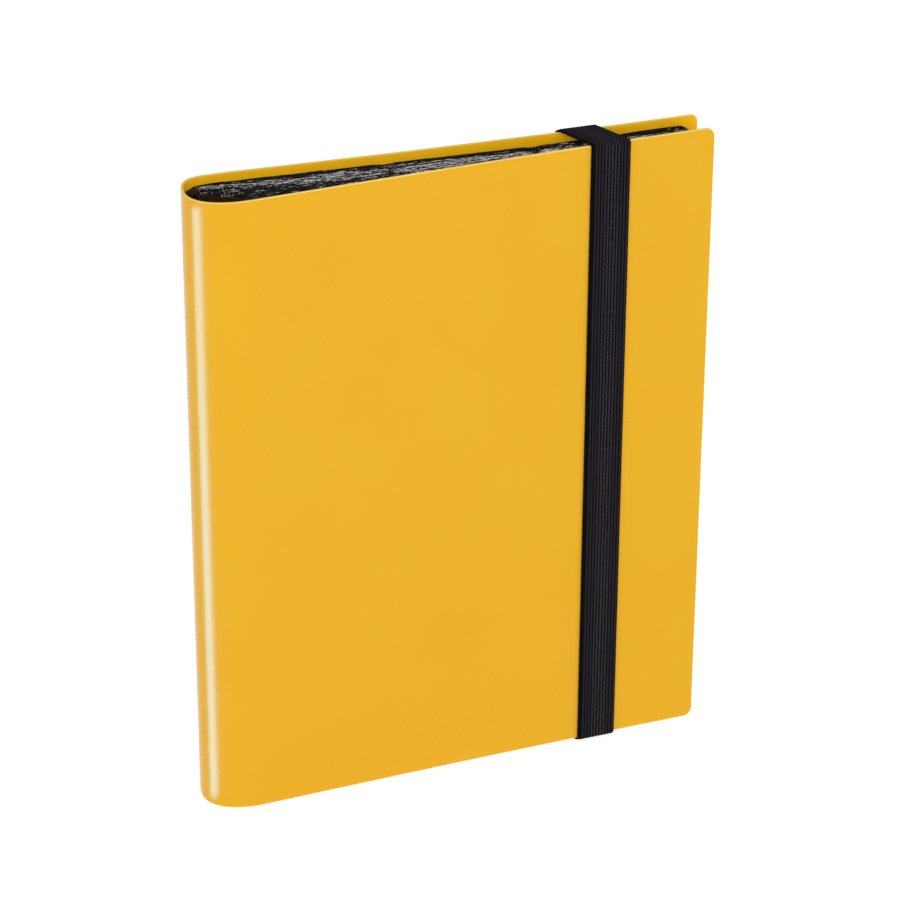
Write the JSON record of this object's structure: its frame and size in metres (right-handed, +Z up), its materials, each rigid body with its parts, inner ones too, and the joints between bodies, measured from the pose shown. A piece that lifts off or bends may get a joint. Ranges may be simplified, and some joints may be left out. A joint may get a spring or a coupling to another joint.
{
  "type": "trading card binder",
  "caption": "Upright card binder: rounded spine, hinged covers, a fan of side-loading pocket leaves and a flat ribbed elastic strap that flips behind the back cover.",
  "frame": {"origin": "middle of the foot, under the centre of the shut binder's box, at the lower face of the strap", "axes": "+Z up along the spine; +X from the spine to the fore edge; the front cover faces -Y and the back cover +Y"},
  "size_m": [0.248, 0.0326, 0.3206],
  "materials": {
    "cover_yellow": "satin polypropylene with a fine moulded grain",
    "page_black": "clear glossy pocket film over black sheet",
    "binding_black": "satin",
    "strap_elastic": "woven ribbed elastic",
    "patch_black": "satin"
  },
  "bodies": {
    "spine": {"spine_cover": "cover_yellow", "binding_bar": "binding_black"},
    "front": {"front_cover": "cover_yellow"},
    "back": {"back_cover": "cover_yellow", "strap_tail_lower": "strap_elastic", "strap_tail_upper": "strap_elastic", "strap_patch_lower": "patch_black", "strap_patch_upper": "patch_black"},
    "strap": {"elastic_strap": "strap_elastic"},
    "page_01": {"leaf_01": "page_black"},
    "page_02": {"leaf_02": "page_black"},
    "page_03": {"leaf_03": "page_black"},
    "page_04": {"leaf_04": "page_black"},
    "page_05": {"leaf_05": "page_black"},
    "page_06": {"leaf_06": "page_black"},
    "page_07": {"leaf_07": "page_black"},
    "page_08": {"leaf_08": "page_black"},
    "page_09": {"leaf_09": "page_black"},
    "page_10": {"leaf_10": "page_black"},
    "page_11": {"leaf_11": "page_black"},
    "page_12": {"leaf_12": "page_black"},
    "page_13": {"leaf_13": "page_black"},
    "page_14": {"leaf_14": "page_black"},
    "page_15": {"leaf_15": "page_black"},
    "page_16": {"leaf_16": "page_black"},
    "page_17": {"leaf_17": "page_black"},
    "page_18": {"leaf_18": "page_black"},
    "page_19": {"leaf_19": "page_black"},
    "page_20": {"leaf_20": "page_black"}
  },
  "joints": [
    {"name": "front_cover_hinge", "type": "hinge", "parent": "spine", "child": "front", "pos_m": [-0.1195, -0.012, 0.0013], "axis": [0, 0, -1], "range_deg": [0, 90]},
    {"name": "back_cover_hinge", "type": "hinge", "parent": "spine", "child": "back", "pos_m": [-0.122, 0.0126, 0.0013], "axis": [0, 0, 1], "range_deg": [0, 90]},
    {"name": "strap_swing", "type": "hinge", "parent": "back", "child": "strap", "pos_m": [0.0678, 0.00046, 0.0013], "axis": [0, 0, 1], "range_deg": [0, 180], "deforming": ["elastic_strap"]},
    {"name": "page_hinge_01", "type": "hinge", "parent": "spine", "child": "page_01", "pos_m": [-0.11632, 0.00506, 0.0013], "axis": [0, 0, -1], "range_deg": [0, 59.4]},
    {"name": "page_hinge_02", "type": "hinge", "parent": "spine", "child": "page_02", "pos_m": [-0.11591, 0.00533, 0.0013], "axis": [0, 0, -1], "range_deg": [0, 53.15]},
    {"name": "page_hinge_03", "type": "hinge", "parent": "spine", "child": "page_03", "pos_m": [-0.11552, 0.00565, 0.0013], "axis": [0, 0, -1], "range_deg": [0, 46.9]},
    {"name": "page_hinge_04", "type": "hinge", "parent": "spine", "child": "page_04", "pos_m": [-0.11517, 0.00601, 0.0013], "axis": [0, 0, -1], "range_deg": [0, 40.64]},
    {"name": "page_hinge_05", "type": "hinge", "parent": "spine", "child": "page_05", "pos_m": [-0.11486, 0.00641, 0.0013], "axis": [0, 0, -1], "range_deg": [0, 34.39]},
    {"name": "page_hinge_06", "type": "hinge", "parent": "spine", "child": "page_06", "pos_m": [-0.1146, 0.00683, 0.0013], "axis": [0, 0, -1], "range_deg": [0, 28.13]},
    {"name": "page_hinge_07", "type": "hinge", "parent": "spine", "child": "page_07", "pos_m": [-0.11438, 0.00729, 0.0013], "axis": [0, 0, -1], "range_deg": [0, 21.89]},
    {"name": "page_hinge_08", "type": "hinge", "parent": "spine", "child": "page_08", "pos_m": [-0.11422, 0.00776, 0.0013], "axis": [0, 0, -1], "range_deg": [0, 15.63]},
    {"name": "page_hinge_09", "type": "hinge", "parent": "spine", "child": "page_09", "pos_m": [-0.11411, 0.00825, 0.0013], "axis": [0, 0, -1], "range_deg": [0, 9.38]},
    {"name": "page_hinge_10", "type": "hinge", "parent": "spine", "child": "page_10", "pos_m": [-0.11406, 0.00875, 0.0013], "axis": [0, 0, -1], "range_deg": [0, 3.12]},
    {"name": "page_hinge_11", "type": "hinge", "parent": "spine", "child": "page_11", "pos_m": [-0.11406, 0.00925, 0.0013], "axis": [0, 0, 1], "range_deg": [0, 3.89]},
    {"name": "page_hinge_12", "type": "hinge", "parent": "spine", "child": "page_12", "pos_m": [-0.11411, 0.00975, 0.0013], "axis": [0, 0, 1], "range_deg": [0, 11.65]},
    {"name": "page_hinge_13", "type": "hinge", "parent": "spine", "child": "page_13", "pos_m": [-0.11422, 0.01024, 0.0013], "axis": [0, 0, 1], "range_deg": [0, 19.42]},
    {"name": "page_hinge_14", "type": "hinge", "parent": "spine", "child": "page_14", "pos_m": [-0.11438, 0.01071, 0.0013], "axis": [0, 0, 1], "range_deg": [0, 27.19]},
    {"name": "page_hinge_15", "type": "hinge", "parent": "spine", "child": "page_15", "pos_m": [-0.1146, 0.01117, 0.0013], "axis": [0, 0, 1], "range_deg": [0, 34.96]},
    {"name": "page_hinge_16", "type": "hinge", "parent": "spine", "child": "page_16", "pos_m": [-0.11486, 0.01159, 0.0013], "axis": [0, 0, 1], "range_deg": [0, 42.72]},
    {"name": "page_hinge_17", "type": "hinge", "parent": "spine", "child": "page_17", "pos_m": [-0.11517, 0.01199, 0.0013], "axis": [0, 0, 1], "range_deg": [0, 50.5]},
    {"name": "page_hinge_18", "type": "hinge", "parent": "spine", "child": "page_18", "pos_m": [-0.11552, 0.01235, 0.0013], "axis": [0, 0, 1], "range_deg": [0, 58.27]},
    {"name": "page_hinge_19", "type": "hinge", "parent": "spine", "child": "page_19", "pos_m": [-0.11591, 0.01267, 0.0013], "axis": [0, 0, 1], "range_deg": [0, 66.03]},
    {"name": "page_hinge_20", "type": "hinge", "parent": "spine", "child": "page_20", "pos_m": [-0.11632, 0.01294, 0.0013], "axis": [0, 0, 1], "range_deg": [0, 73.8]}
  ],
  "couplings": [
    {"joint": "back_cover_hinge", "follows": "front_cover_hinge", "ratio": 1},
    {"joint": "strap_swing", "follows": "front_cover_hinge", "ratio": 2},
    {"joint": "page_hinge_01", "follows": "front_cover_hinge", "ratio": 0.66},
    {"joint": "page_hinge_02", "follows": "front_cover_hinge", "ratio": 0.5905},
    {"joint": "page_hinge_03", "follows": "front_cover_hinge", "ratio": 0.5211},
    {"joint": "page_hinge_04", "follows": "front_cover_hinge", "ratio": 0.4516},
    {"joint": "page_hinge_05", "follows": "front_cover_hinge", "ratio": 0.3821},
    {"joint": "page_hinge_06", "follows": "front_cover_hinge", "ratio": 0.3126},
    {"joint": "page_hinge_07", "follows": "front_cover_hinge", "ratio": 0.2432},
    {"joint": "page_hinge_08", "follows": "front_cover_hinge", "ratio": 0.1737},
    {"joint": "page_hinge_09", "follows": "front_cover_hinge", "ratio": 0.1042},
    {"joint": "page_hinge_10", "follows": "front_cover_hinge", "ratio": 0.0347},
    {"joint": "page_hinge_11", "follows": "front_cover_hinge", "ratio": 0.0432},
    {"joint": "page_hinge_12", "follows": "front_cover_hinge", "ratio": 0.1295},
    {"joint": "page_hinge_13", "follows": "front_cover_hinge", "ratio": 0.2158},
    {"joint": "page_hinge_14", "follows": "front_cover_hinge", "ratio": 0.3021},
    {"joint": "page_hinge_15", "follows": "front_cover_hinge", "ratio": 0.3884},
    {"joint": "page_hinge_16", "follows": "front_cover_hinge", "ratio": 0.4747},
    {"joint": "page_hinge_17", "follows": "front_cover_hinge", "ratio": 0.5611},
    {"joint": "page_hinge_18", "follows": "front_cover_hinge", "ratio": 0.6474},
    {"joint": "page_hinge_19", "follows": "front_cover_hinge", "ratio": 0.7337},
    {"joint": "page_hinge_20", "follows": "front_cover_hinge", "ratio": 0.82}
  ]
}
